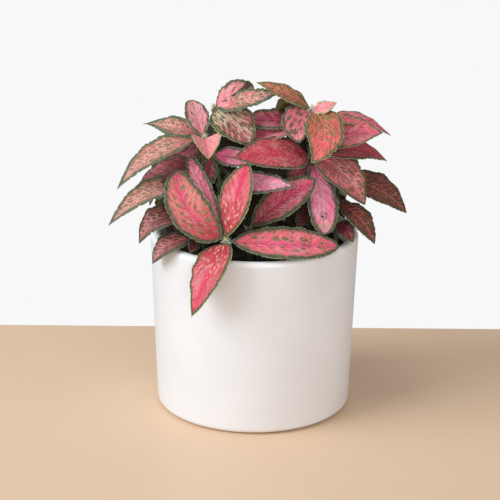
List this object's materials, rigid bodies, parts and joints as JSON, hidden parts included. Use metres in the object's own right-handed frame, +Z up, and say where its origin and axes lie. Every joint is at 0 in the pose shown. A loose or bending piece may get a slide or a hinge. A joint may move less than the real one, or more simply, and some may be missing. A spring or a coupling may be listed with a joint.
{
  "type": "potted nerve plant",
  "caption": "Bushy low plant with pointed, veined, pink-red leaves in opposite pairs on short stems, growing from dark soil in a plain round white ceramic pot.",
  "frame": {"origin": "centre of the flat underside of the pot, on the surface it stands on", "axes": "+Z up along the pot's axis; -Y towards the front, the side with the leaf that hangs over the rim; +X to the right seen from the front"},
  "size_m": [0.1826, 0.1722, 0.2106],
  "materials": {
    "ceramic": "smooth off-white glaze with a soft sheen",
    "soil": "dark, damp, crumbly potting soil",
    "foliage": "soft matt leaves with a net of pink-red veins on olive green"
  },
  "bodies": {
    "root": {"pot": "ceramic", "potting_soil": "soil", "leafy_stem_front": "foliage", "leafy_stem_left": "foliage", "leafy_stem_left_rim": "foliage", "leafy_stem_top": "foliage", "leafy_stem_right": "foliage", "leafy_stem_low_right": "foliage", "leafy_stem_middle": "foliage", "leafy_stem_centre": "foliage", "leafy_stem_right_back": "foliage", "leafy_stem_back": "foliage", "leafy_stem_left_back": "foliage", "leafy_stem_crown": "foliage", "leafy_stem_left_side": "foliage"}
  },
  "joints": []
}
